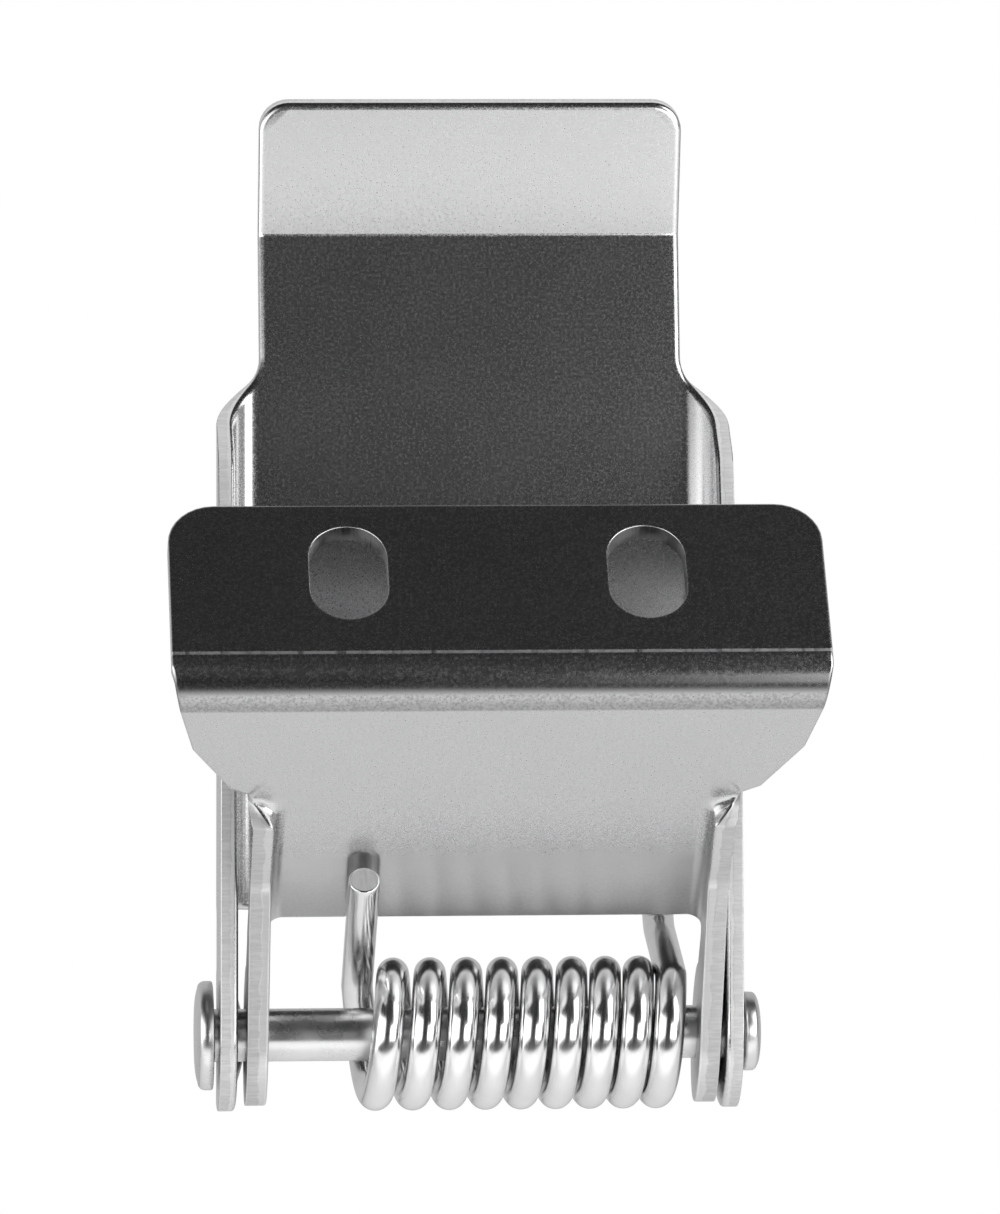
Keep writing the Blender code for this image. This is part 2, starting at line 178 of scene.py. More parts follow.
class SpringSettings(bpy.types.PropertyGroup):
    wire_radius: length("Wire radius", "Radius of the spring's wire", 0.9)
    coil_radius: length("Coil radius", "Radius of the coil at the wire's middle", 3.45)
    crossings: count("Crossings", "Times that the wire crosses the coil's front", 9)
    first_x: length("First crossing", "X of the first front crossing", -5.67)
    first_pitch: length("First pitch", "Advance of the first turn", 2.14)
    pitch_loss: length("Pitch loss", "How much the pitch law loses for each turn squared", 0.0186)
    left_leg: length("Left leg", "Length of the leg that lies under the plate", 10.05)
    right_rise: angle("Right leg rise", "Angle at which the right leg rises to the rear", 25.0)
    right_back: length("Right leg rear", "How far behind the hinge the right leg turns up", 6.0)
    right_bend: length("Right leg bend", "Radius of the right leg's bend", 1.8)
    right_top: length("Right leg top", "Height of the right leg's end above the hinge", 13.5)
    end_chamfer: length("End chamfer", "Rounding of the wire's cut ends", 0.12)
    turn_steps: count("Turn steps", "Path points on one turn", 72)
    sides: count("Sides", "Facets round the wire", 36)


class FinishSettings(bpy.types.PropertyGroup):
    sheet: colour("Sheet", "Colour of the plated sheet", (0.66, 0.66, 0.665))
    cut: colour("Cut edge", "Colour of the sheared edges", (0.55, 0.55, 0.55))
    wire: colour("Wire", "Colour of the plated wire", (0.80, 0.80, 0.80))
    pin: colour("Pin", "Colour of the plated rivet", (0.72, 0.72, 0.72))
    leaf_roughness: share("Leaf roughness", "Roughness of the leaf's plating", 0.24)
    bracket_roughness: share("Bracket roughness", "Roughness of the bracket's plating", 0.24)
    cut_roughness: share("Cut roughness", "Roughness of the sheared edges", 0.48)
    wire_roughness: share("Wire roughness", "Roughness of the wire", 0.17)
    pin_roughness: share("Pin roughness", "Roughness of the rivet", 0.27)


class StageSettings(bpy.types.PropertyGroup):
    yaw: angle("Camera yaw", "How far the camera stands to the left", 4.3)
    pitch: angle("Camera pitch", "How far the camera looks up", 6.5)
    roll: angle("Camera roll", "Turn of the picture about its own middle", 0.77)
    distance: length("Camera distance", "From the camera to the point that it looks at", 493.0)
    target_x: length("Target X", "Sideways place of the point that the camera looks at", 1.25)
    target_z: length("Target Z", "Height above the hinge of that point", 24.4)
    lens: FloatProperty(name="Lens", description="Focal length in millimetres", default=255.5)
    floor_drop: length("Floor drop", "Height of the hinge above the floor", 150.0)
    floor_size: length("Floor size", "Side of the floor", 4000.0)
    floor_front: length("Lit floor", "How far the lit part of the floor reaches in front", 225.0)
    floor_colour: colour("Floor colour", "Colour of the floor", (0.80, 0.80, 0.80))


# ---- Outlines on the flat blank ----

def arc(centre, radius, start_deg, end_deg, steps):
    """Points on an arc, both ends included."""
    points = []
    for step in range(steps + 1):
        turn = math.radians(start_deg + (end_deg - start_deg) * step / steps)
        points.append((centre[0] + radius * math.cos(turn), centre[1] + radius * math.sin(turn)))
    return points


def rounded(before, corner, after, radius, steps=8):
    """Points of the arc that rounds one corner of an outline."""
    here = Vector(corner)
    back = (Vector(before) - here).normalized()
    ahead = (Vector(after) - here).normalized()
    half = back.angle(ahead) / 2
    centre = here + (back + ahead).normalized() * (radius / math.sin(half))
    first = here + back * (radius / math.tan(half)) - centre
    last = here + ahead * (radius / math.tan(half)) - centre
    start = math.atan2(first.y, first.x)
    sweep = math.remainder(math.atan2(last.y, last.x) - start, math.tau)
    points = []
    for step in range(steps + 1):
        turn = start + sweep * step / steps
        points.append((centre.x + radius * math.cos(turn), centre.y + radius * math.sin(turn)))
    return points


def run(corners):
    """An open run of corners (u, v, radius), each rounded by its radius."""
    points = [corners[0][:2]]
    for before, corner, after in zip(corners, corners[1:], corners[2:]):
        if corner[2] > 0.0:
            points += rounded(before[:2], corner[:2], after[:2], corner[2])
        else:
            points.append(corner[:2])
    points.append(corners[-1][:2])
    return points


def hole(centre, radius, reach=0.0):
    """A round hole, or an upright slot, listed clockwise so that its sheet lies on the left."""
    top = arc((centre[0], centre[1] + reach), radius, 180.0, 0.0, 32)
    bottom = arc((centre[0], centre[1] - reach), radius, 0.0, -180.0, 32)
    return top + bottom if reach > 0.0 else (top + bottom[1:-1])


def mirrored(right_half):
    """Closes a right half, listed from the foot up to the top, with its mirror image."""
    return right_half + [(-u, v) for u, v in reversed(right_half)]


def inset(outline, distance):
    """The outline moved sideways into the sheet, with mitred corners."""
    moved = []
    for index, here in enumerate(outline):
        back = (Vector(here) - Vector(outline[index - 1])).normalized()
        ahead = (Vector(outline[(index + 1) % len(outline)]) - Vector(here)).normalized()
        first = Vector((-back.y, back.x))
        second = Vector((-ahead.y, ahead.x))
        mitre = (first + second) / (1.0 + first.dot(second))
        moved.append(Vector(here) + mitre * distance)
    return moved


# ---- Sheet metal ----

ROLL_STEPS = 5
BURR_STEPS = 2
BEND_STEPS = 14
TIP_BEND_STEPS = 6
EYE_STEPS = 56
HOLE_ROLL = 0.45    # a punched hole's rolled rim, as a share of the outline's
QUARTER = math.radians(90.0)


def edge_rings(size, roll):
    """The cut edge's section as (inset, depth) pairs, from the rolled rim to the burr."""
    rings = []
    for step in range(ROLL_STEPS + 1):
        turn = QUARTER * step / ROLL_STEPS
        rings.append((roll * size.roll_width * (1.0 - math.sin(turn)),
                      roll * size.roll_depth * (1.0 - math.cos(turn))))
    for step in range(BURR_STEPS + 1):
        turn = QUARTER * step / BURR_STEPS
        rings.append((size.burr * (1.0 - math.cos(turn)),
                      size.thickness - size.burr * (1.0 - math.sin(turn))))
    return rings


def blank(outlines, size):
    """A flat plate with a modelled cut edge. The first outline's sheared band gets material 1
    and the pierced holes' bands get material 2."""
    bm = bmesh.new()
    along_cut = bm.verts.layers.float.new("cut_run")
    fills = ([], [])
    for order, outline in enumerate(outlines):
        cut = 1 if order == 0 else 2
        rings = edge_rings(size, 1.0 if order == 0 else HOLE_ROLL)
        runs = [0.0]
        for before, here in zip(outline, outline[1:]):
            runs.append(runs[-1] + (Vector(here) - Vector(before)).length)
        loops = []
        for distance, depth in rings:
            loop = []
            for point, passed in zip(inset(outline, distance), runs):
                vert = bm.verts.new((point.x, point.y, depth))
                vert[along_cut] = passed
                loop.append(vert)
            loops.append(loop)
        for ring, (upper, lower) in enumerate(zip(loops, loops[1:])):
            for index in range(len(upper)):
                face = bm.faces.new((upper[index - 1], upper[index], lower[index], lower[index - 1]))
                face.material_index = cut if ring == ROLL_STEPS else 0
        for side, loop in zip(fills, (loops[0], loops[-1])):
            side += [bm.edges.get((loop[index - 1], loop[index])) for index in range(len(loop))]
    for side in fills:
        bmesh.ops.triangle_fill(bm, edges=side, use_beauty=True, normal=(0.0, 0.0, 1.0))
    bmesh.ops.recalc_face_normals(bm, faces=bm.faces[:])
    return bm


def divide(bm, axis, first, last, steps):
    """Cuts the blank along lines that bound and divide one zone."""
    direction = Vector((1.0, 0.0, 0.0)) if axis == "u" else Vector((0.0, 1.0, 0.0))
    for step in range(steps + 1):
        place = first + (last - first) * step / steps
        geometry = bm.verts[:] + bm.edges[:] + bm.faces[:]
        bmesh.ops.bisect_plane(bm, geom=geometry, plane_co=direction * place, plane_no=direction)


def sheet_object(name, bm, shape, materials):
    """Carries the blank round its bends and keeps each point's place on the blank."""
    across = bm.verts.layers.float.new("blank_u")
    along = bm.verts.layers.float.new("blank_v")
    depth = bm.verts.layers.float.new("blank_w")
    for vert in bm.verts:
        u, v, w = vert.co
        vert[across] = u
        vert[along] = v
        vert[depth] = w / shape.size.thickness
        vert.co = HINGE + shape.place(u, v, w)
    bmesh.ops.remove_doubles(bm, verts=bm.verts[:], dist=1e-8)
    bmesh.ops.dissolve_degenerate(bm, edges=bm.edges[:], dist=1e-8)
    bmesh.ops.recalc_face_normals(bm, faces=bm.faces[:])
    return plain_object(name, bm, materials)


def plain_object(name, bm, materials):
    """A shaded mesh object at the origin, with normals weighted towards its larger faces."""
    mesh = bpy.data.meshes.new(name)
    bm.to_mesh(mesh)
    bm.free()
    for material in materials:
        mesh.materials.append(material)
    mesh.shade_smooth()
    piece = bpy.data.objects.new(name, mesh)
    bpy.context.scene.collection.objects.link(piece)
    weighted = piece.modifiers.new("Weighted normals", "WEIGHTED_NORMAL")
    weighted.mode = "FACE_AREA"
    return made_plain(piece)


def made_plain(piece):
    """Replaces a piece's mesh with what its modifiers make of it, and removes them."""
    bpy.context.view_layer.update()
    evaluated = piece.evaluated_get(bpy.context.evaluated_depsgraph_get())
    mesh = bpy.data.meshes.new_from_object(evaluated)
    mesh.name = piece.name
    piece.modifiers.clear()
    piece.data = mesh
    return piece


# ---- Leaf ----

class LeafShape:
    """The leaf's blank and its bends: v is height, u is distance across the blank."""

    def __init__(self, size):
        self.size = size
        middle = size.bend_radius + size.thickness / 2
        self.flat_half = size.half_width - size.thickness - size.bend_radius
        self.bend_arc = middle * math.pi / 2
        self.wall_u = self.flat_half + self.bend_arc
        self.bend_y = size.front_y - size.bend_radius
        self.eye_u = self.wall_u + self.bend_y
        self.tip_middle = size.tip_bend_radius + size.thickness / 2
        self.tip_arc = self.tip_middle * size.tip_angle

    def outline(self):
        size = self.size
        eye = (self.eye_u, 0.0)
        neck_u = self.eye_u - size.neck_y
        neck_turn = math.degrees(math.acos(-size.neck_y / size.eye_radius))
        round_eye = arc(eye, size.eye_radius, neck_turn, 360.0, EYE_STEPS)
        wall_u = self.eye_u + size.eye_radius
        shoulder_u = size.arm_half + size.shoulder_z - size.wall_top_z
        top = size.tip_bend_z + self.tip_arc + size.tip_length
        foot = run([(self.flat_half, size.foot_z, 0.0), (neck_u, size.foot_z, 0.7 * MM),
                    (*round_eye[0], 0.0)])
        edge = run([(*round_eye[-1], 0.0), (wall_u, size.wall_full_z, 8.0 * MM),
                    (shoulder_u, size.wall_top_z, size.shoulder_round),
                    (size.arm_half, size.shoulder_z, size.shoulder_round),
                    (size.arm_half, top, size.tip_corner), (0.0, top, 0.0)])
        return mirrored(foot[:-1] + round_eye + edge[1:-1])

    def place(self, u, v, w):
        """The bent place, leaning to the left below the walls' top, by the drift at the hinge."""
        drop = max(0.0, 1.0 - v / self.size.wall_top_z)
        return self.bent(u, v, w) - Vector((self.size.drift * drop, 0.0, 0.0))

    def bent(self, u, v, w):
        size = self.size
        side = math.copysign(1.0, u)
        past_flat = abs(u) - self.flat_half
        if past_flat > self.bend_arc:
            across = side * (self.flat_half + size.bend_radius + w)
            return Vector((across, self.bend_y - (past_flat - self.bend_arc), v))
        if past_flat > 0.0:
            turn = past_flat / (size.bend_radius + size.thickness / 2)
            radius = size.bend_radius + w
            across = self.flat_half + radius * math.sin(turn)
            return Vector((side * across, self.bend_y + radius * math.cos(turn), v))
        past_line = v - size.tip_bend_z
        if past_line <= 0.0:
            return Vector((u, size.front_y + w, v))
        turn = min(past_line / self.tip_middle, size.tip_angle)
        straight = max(past_line - self.tip_arc, 0.0)
        radius = size.tip_bend_radius + w
        back = size.front_y - size.tip_bend_radius + radius * math.cos(turn)
        height = size.tip_bend_z + radius * math.sin(turn) + straight * math.cos(turn)
        return Vector((u, back - straight * math.sin(turn), height))


def make_leaf(size, finish):
    shape = LeafShape(size)
    holes = [hole((side * shape.eye_u, 0.0), size.hole_radius) for side in (-1.0, 1.0)]
    bm = blank([shape.outline()] + holes, size)
    divide(bm, "u", shape.flat_half, shape.wall_u, BEND_STEPS)
    divide(bm, "u", -shape.wall_u, -shape.flat_half, BEND_STEPS)
    divide(bm, "v", size.tip_bend_z, size.tip_bend_z + shape.tip_arc, TIP_BEND_STEPS)
    materials = [leaf_sheet(finish, size, shape), cut_edge("leaf_sheared_edge", finish, 0.4),
                 shaded_hole_wall(finish)]
    leaf = sheet_object("swing_leaf", bm, shape, materials)
    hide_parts("leaf")
    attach(leaf, "leaf")
    return leaf


# ---- Bracket ----

class BracketShape:
    """The bracket's blank and its bends: v runs along the plate and then up the flange."""

    def __init__(self, size, groove_x):
        self.size = size
        self.groove_x = groove_x
        self.along = Vector((0.0, -math.cos(size.lean), math.sin(size.lean)))
        self.normal = Vector((0.0, math.sin(size.lean), math.cos(size.lean)))
        self.outer = size.flange_bend + size.thickness
        self.bend_start = size.flange_face - self.outer
        self.bend_middle = size.flange_bend + size.thickness / 2
        self.bend_arc = self.bend_middle * math.pi / 2
        self.bend_end = self.bend_start + self.bend_arc
        self.flat_normal = size.plate_offset + self.outer
        self.top = self.bend_end + size.flange_top - self.flat_normal
        self.ear_flat = size.ear_half - size.thickness - size.ear_bend
        self.ear_middle = size.ear_bend + size.thickness / 2
        self.ear_arc = self.ear_middle * math.pi / 2
        self.ear_wall = self.ear_flat + self.ear_arc
        self.ear_normal = size.plate_offset - size.ear_bend
        self.eye_u = self.ear_wall + self.ear_normal

    def outline(self):
        size = self.size
        eye = (self.eye_u, 0.0)
        skirt_u = self.eye_u - size.plate_offset + size.skirt
        neck_turn = 176.0 - math.degrees(size.lean)
        dx = skirt_u - eye[0]
        opening = math.acos(size.eye_radius / math.hypot(dx, size.skirt_low))
        front_turn = math.degrees(math.atan2(size.skirt_low, dx) - opening)
        fillet = (self.ear_wall - 0.7 * MM, size.plate_start - size.ear_fillet)
        foot = arc(fillet, size.ear_fillet, 90.0, 0.0, 8)
        round_eye = arc(eye, size.eye_radius, neck_turn, 360.0 + front_turn, EYE_STEPS)
        side = run([(*round_eye[-1], 0.0), (skirt_u, size.skirt_low, 1.2 * MM),
                    (skirt_u, size.skirt_high, 0.3 * MM),
                    (self.ear_wall - 0.1 * MM, size.ear_top, 0.25 * MM),
                    (size.foot_u, size.foot_v, 0.4 * MM), (size.knee_u, size.knee_v, 0.8 * MM),
                    (size.flange_half, size.wing_end, 1.2 * MM),
                    (size.flange_half, self.top, size.flange_corner), (0.0, self.top, 0.0)])
        return mirrored(foot + round_eye + side[1:-1])

    def spot(self, x, along, normal):
        return Vector((x, 0.0, 0.0)) + along * self.along + normal * self.normal

    def groove(self, u, v):
        """Depth of the pressed spring groove, a round-ended hollow in the underside."""
        size = self.size
        beyond = max(v - (size.groove_end - size.groove_radius), 0.0)
        reach = math.hypot(u - self.groove_x, beyond)
        if reach >= size.groove_radius:
            return 0.0
        rise = math.sqrt(size.groove_radius ** 2 - reach ** 2)
        return max(rise - (size.groove_radius - size.groove_depth), 0.0)

    def tear(self, u, v, w):
        """Ragged offset of the sheared corners at the ears' tops."""
        size = self.size
        gap = math.hypot(abs(u) - self.ear_wall, v - size.ear_top)
        share_left = max(0.0, 1.0 - gap / (2.2 * MM))
        ragged = noise.noise_vector(Vector((u, v, w)) / (0.45 * MM))
        return ragged * size.tear * share_left

    def place(self, u, v, w):
        size = self.size
        if v > self.bend_start:
            past_line = v - self.bend_start
            turn = min(past_line / self.bend_middle, math.pi / 2)
            straight = max(past_line - self.bend_arc, 0.0)
            radius = self.outer - w
            across = self.flat_normal - radius * math.cos(turn) + straight
            return self.spot(u, self.bend_start + radius * math.sin(turn), across)
        w += self.groove(u, v) * (1.0 - w / size.thickness)
        flat = self.spot(u, v, size.plate_offset + w)
        past_flat = abs(u) - self.ear_flat
        if past_flat <= 0.0:
            return flat
        ragged = self.tear(u, v, w)
        if v > size.ear_top:
            return flat + ragged
        side = math.copysign(1.0, u)
        if past_flat > self.ear_arc:
            depth = past_flat - self.ear_arc
            lean = size.right_lean if side > 0.0 else size.left_lean
            ear_x = side * (self.ear_flat + size.ear_bend + w) - depth * math.tan(lean)
            bent = self.spot(ear_x, v, self.ear_normal - depth)
        else:
            turn = past_flat / self.ear_middle
            radius = size.ear_bend + w
            across = side * (self.ear_flat + radius * math.sin(turn))
            bent = self.spot(across, v, self.ear_normal + radius * math.cos(turn))
        release = max(0.0, 1.0 - (size.ear_top - v) / size.ear_release)
        return bent.lerp(flat, release * release * (3.0 - 2.0 * release)) + ragged


def make_bracket(size, spring, finish):
    shape = BracketShape(size, leg_x(spring))
    reach = (size.slot_height - size.slot_width) / 2
    slot_v = shape.top - size.slot_drop
    holes = [hole((side * shape.eye_u, 0.0), size.hole_radius) for side in (-1.0, 1.0)]
    holes += [hole((side * size.slot_x, slot_v), size.slot_width / 2, reach) for side in (-1.0, 1.0)]
    bm = blank([shape.outline()] + holes, size)
    divide(bm, "u", shape.ear_flat, shape.ear_wall, BEND_STEPS)
    divide(bm, "u", -shape.ear_wall, -shape.ear_flat, BEND_STEPS)
    divide(bm, "v", shape.bend_start, shape.bend_end, BEND_STEPS)
    divide(bm, "v", size.ear_top - size.ear_release, size.ear_top, 10)
    radius = size.groove_radius
    divide(bm, "u", shape.groove_x - radius, shape.groove_x + radius, 22)
    divide(bm, "v", size.groove_end - 2 * radius, size.groove_end, 14)
    materials = [bracket_sheet(finish, shape), cut_edge("bracket_sheared_edge", finish, 0.8),
                 shaded_hole_wall(finish)]
    bracket = sheet_object("slotted_bracket", bm, shape, materials)
    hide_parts("bracket")
    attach(bracket, "bracket")
    return bracket


# ---- Rivet ----

CROWN = 0.16 * MM           # rise of the factory head's crown
FACTORY_ROUND = 0.42 * MM   # depth of the factory head's rounded rim
HEAD_BREAK = 0.08 * MM      # bevel under the factory head
FACTORY_ROOT = 0.12 * MM    # bevels between the shank and its heads
FORMED_ROOT = 0.05 * MM
FORMED_LIP = 0.16 * MM      # how far the formed head's underside is drawn in
LIP_DEPTH = 0.2 * MM
DOME_START = 0.45 * MM      # height above its seat at which the formed head's dome starts


def quarter_turns(steps):
    """The angles that divide a quarter turn, without its start."""
    return [QUARTER * step / steps for step in range(1, steps + 1)]


def rivet_profile(size):
    """Half section as (x, radius), from the factory head's middle to the formed head's."""
    seat = size.seat
    end = seat + size.head_thickness
    points = [(-end, 0.0), (-end, size.factory_radius * 0.55)]
    for step in range(1, 7):
        share_out = step / 6
        points.append((-end + CROWN * share_out ** 2,
                       size.factory_radius * (0.55 + 0.33 * share_out)))
    for turn in quarter_turns(8):
        points.append((-end + CROWN + FACTORY_ROUND * (1.0 - math.cos(turn)),
                       size.factory_radius * (0.88 + 0.12 * math.sin(turn))))
    points += [(-seat - HEAD_BREAK, size.factory_radius),
               (-seat, size.factory_radius - HEAD_BREAK),
               (-seat, size.shank_radius + FACTORY_ROOT),
               (-seat + FACTORY_ROOT, size.shank_radius),
               (seat - FORMED_ROOT, size.shank_radius),
               (seat, size.shank_radius + FORMED_ROOT),
               (seat, size.formed_radius - FORMED_LIP)]
    for turn in quarter_turns(6):
        points.append((seat + LIP_DEPTH * (1.0 - math.cos(turn)),
                       size.formed_radius - FORMED_LIP * (1.0 - math.sin(turn))))
    dome = size.head_thickness - DOME_START
    for turn in quarter_turns(10):
        points.append((seat + DOME_START + dome * math.sin(turn) ** 0.8,
                       size.formed_radius * math.cos(turn) ** 0.6))
    return points


def make_rivet(size, finish):
    bm = bmesh.new()
    verts = [bm.verts.new(HINGE + Vector((x - size.drift, 0.0, radius)))
             for x, radius in rivet_profile(size)]
    edges = [bm.edges.new(pair) for pair in zip(verts, verts[1:])]
    bmesh.ops.spin(bm, geom=verts + edges, cent=HINGE, axis=(1.0, 0.0, 0.0), angle=math.tau,
                   steps=size.facets, use_merge=True)
    bmesh.ops.remove_doubles(bm, verts=bm.verts[:], dist=1e-7)
    bmesh.ops.recalc_face_normals(bm, faces=bm.faces[:])
    rivet = plain_object("headed_rivet", bm, [turned_pin(finish)])
    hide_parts("hinge_rivet")
    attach(rivet, "bracket")
    return rivet


# ---- Spring ----

START_DEG = 32.0            # wound angle at which the left leg leaves the coil
LEG_STEPS = 24
REACH_STEPS = 6
LEG_BEND_STEPS = 12
CLIMB_STEPS = 12
CHAMFER_STEPS = 4


def coil_x(size, turn_deg):
    """X of the wire at a wound angle; 270 degrees is the first front crossing."""
    turns = (turn_deg - 270.0) / 360.0
    return size.first_x + size.first_pitch * turns - size.pitch_loss * turns * turns


def leg_x(size):
    return coil_x(size, START_DEG)


def end_deg(size):
    """The wound angle at which the right leg leaves the coil."""
    return 360.0 * size.crossings - math.degrees(size.right_rise)


def coil_point(size, turn_deg):
    """0 degrees is the top of the coil, 90 the back, 180 the bottom, 270 the front."""
    turn = math.radians(turn_deg)
    radius = size.coil_radius
    return Vector((coil_x(size, turn_deg), radius * math.sin(turn), radius * math.cos(turn)))


def spring_route(size):
    """Left leg along the plate, the turns, then the right leg back and up behind the leaf."""
    lean = math.radians(START_DEG)
    plate = Vector((0.0, -math.cos(lean), math.sin(lean)))
    start = coil_point(size, START_DEG)
    route = [start + plate * size.left_leg * (1.0 - step / LEG_STEPS) for step in range(LEG_STEPS)]
    wound = end_deg(size) - START_DEG
    steps = round(wound / 360.0 * size.turn_steps)
    route += [coil_point(size, START_DEG + wound * step / steps) for step in range(steps + 1)]
    rise = size.right_rise
    heading = Vector((0.0, math.cos(rise), math.sin(rise)))
    leave = route[-1]
    corner = leave + heading * ((size.right_back - leave.y) / heading.y)
    setback = size.right_bend * math.tan((math.pi / 2 - rise) / 2)
    straight = (corner - leave).length - setback
    route += [leave + heading * straight * step / REACH_STEPS for step in range(1, REACH_STEPS)]
    centre = corner + Vector((0.0, -size.right_bend, setback))
    for step in range(LEG_BEND_STEPS + 1):
        turn = (rise - math.pi / 2) + (math.pi / 2 - rise) * step / LEG_BEND_STEPS
        route.append(centre + Vector((0.0, math.cos(turn), math.sin(turn))) * size.right_bend)
    turned_up = route[-1]
    climb = size.right_top - turned_up.z
    route += [turned_up + Vector((0.0, 0.0, climb * step / CLIMB_STEPS))
              for step in range(1, CLIMB_STEPS + 1)]
    return [HINGE + point for point in route]


def with_chamfers(route, size):
    """Rounds both ends with close points, and gives each point its share of the wire's radius."""
    chamfer = size.end_chamfer
    rounds = []
    for end, neighbour in ((route[0], route[1]), (route[-1], route[-2])):
        inward = (neighbour - end).normalized()
        stations = []
        for step in range(CHAMFER_STEPS + 1):
            turn = QUARTER * step / CHAMFER_STEPS
            back = chamfer * (1.0 - math.sin(turn))
            taper = 1.0 - chamfer * (1.0 - math.cos(turn)) / size.wire_radius
            stations.append((end + inward * back, taper))
        rounds.append(stations)
    whole = [(place, 1.0) for place in route[1:-1]]
    stations = rounds[0][::-1] + whole + rounds[1]
    return [place for place, _ in stations], [taper for _, taper in stations]


def wire_tree(material):
    """Sweeps a round wire along the route that it is given, thinned by the route's taper."""
    tree = bpy.data.node_groups.new("Swept spring wire", "GeometryNodeTree")
    sockets = tree.interface
    sockets.new_socket("Route", in_out="INPUT", socket_type="NodeSocketGeometry")
    radius = sockets.new_socket("Wire radius", in_out="INPUT", socket_type="NodeSocketFloat")
    sides = sockets.new_socket("Sides", in_out="INPUT", socket_type="NodeSocketInt")
    sockets.new_socket("Wire", in_out="OUTPUT", socket_type="NodeSocketGeometry")
    nodes = tree.nodes
    link = tree.links.new
    given = nodes.new("NodeGroupInput")
    result = nodes.new("NodeGroupOutput")
    to_curve = nodes.new("GeometryNodeMeshToCurve")
    place = nodes.new("GeometryNodeSplineParameter")
    store_run = nodes.new("GeometryNodeStoreNamedAttribute")
    store_run.inputs["Name"].default_value = "wire_run"
    circle = nodes.new("GeometryNodeCurvePrimitiveCircle")
    position = nodes.new("GeometryNodeInputPosition")
    store_skin = nodes.new("GeometryNodeStoreNamedAttribute")
    store_skin.data_type = "FLOAT_VECTOR"
    store_skin.inputs["Name"].default_value = "wire_skin"
    taper = nodes.new("GeometryNodeInputNamedAttribute")
    taper.inputs["Name"].default_value = "taper"
    sweep = nodes.new("GeometryNodeCurveToMesh")
    sweep.inputs["Fill Caps"].default_value = True
    smooth = nodes.new("GeometryNodeSetShadeSmooth")
    realize = nodes.new("GeometryNodeRealizeInstances")
    paint = nodes.new("GeometryNodeSetMaterial")
    paint.inputs["Material"].default_value = material
    link(given.outputs["Route"], to_curve.inputs["Mesh"])
    link(to_curve.outputs["Curve"], store_run.inputs["Geometry"])
    link(place.outputs["Length"], store_run.inputs["Value"])
    link(given.outputs["Sides"], circle.inputs["Resolution"])
    link(given.outputs["Wire radius"], circle.inputs["Radius"])
    link(circle.outputs["Curve"], store_skin.inputs["Geometry"])
    link(position.outputs["Position"], store_skin.inputs["Value"])
    link(store_run.outputs["Geometry"], sweep.inputs["Curve"])
    link(store_skin.outputs["Geometry"], sweep.inputs["Profile Curve"])
    link(taper.outputs["Attribute"], sweep.inputs["Scale"])
    link(sweep.outputs["Mesh"], smooth.inputs["Geometry"])
    link(smooth.outputs["Geometry"], realize.inputs["Geometry"])
    link(realize.outputs["Geometry"], paint.inputs["Geometry"])
    link(paint.outputs["Geometry"], result.inputs["Wire"])
    return tree, radius.identifier, sides.identifier


def make_spring(size, finish):
    places, shares = with_chamfers(spring_route(size), size)
    mesh = bpy.data.meshes.new("wound_spring")
    mesh.from_pydata(places, [(index, index + 1) for index in range(len(places) - 1)], [])
    taper = mesh.attributes.new("taper", "FLOAT", "POINT")
    taper.data.foreach_set("value", shares)
    spring = bpy.data.objects.new("wound_spring", mesh)
    bpy.context.scene.collection.objects.link(spring)
    tree, radius_input, sides_input = wire_tree(drawn_wire(finish))
    sweep = spring.modifiers.new("Swept wire", "NODES")
    sweep.node_group = tree
    sweep[radius_input] = size.wire_radius
    sweep[sides_input] = size.sides
    made_plain(spring)
    bm = bmesh.new()
    bm.from_mesh(spring.data)
    for face in bm.faces:
        face.material_index = 1 if len(face.verts) > 4 else 0
    bmesh.ops.recalc_face_normals(bm, faces=bm.faces[:])
    bm.to_mesh(spring.data)
    bm.free()
    spring.data.materials.append(sawn_end(finish))
    spring.data.set_sharp_from_angle(angle=math.radians(50.0))
    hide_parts("torsion_spring")
    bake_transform(spring)
    return spring


# ---- Shader helpers ----

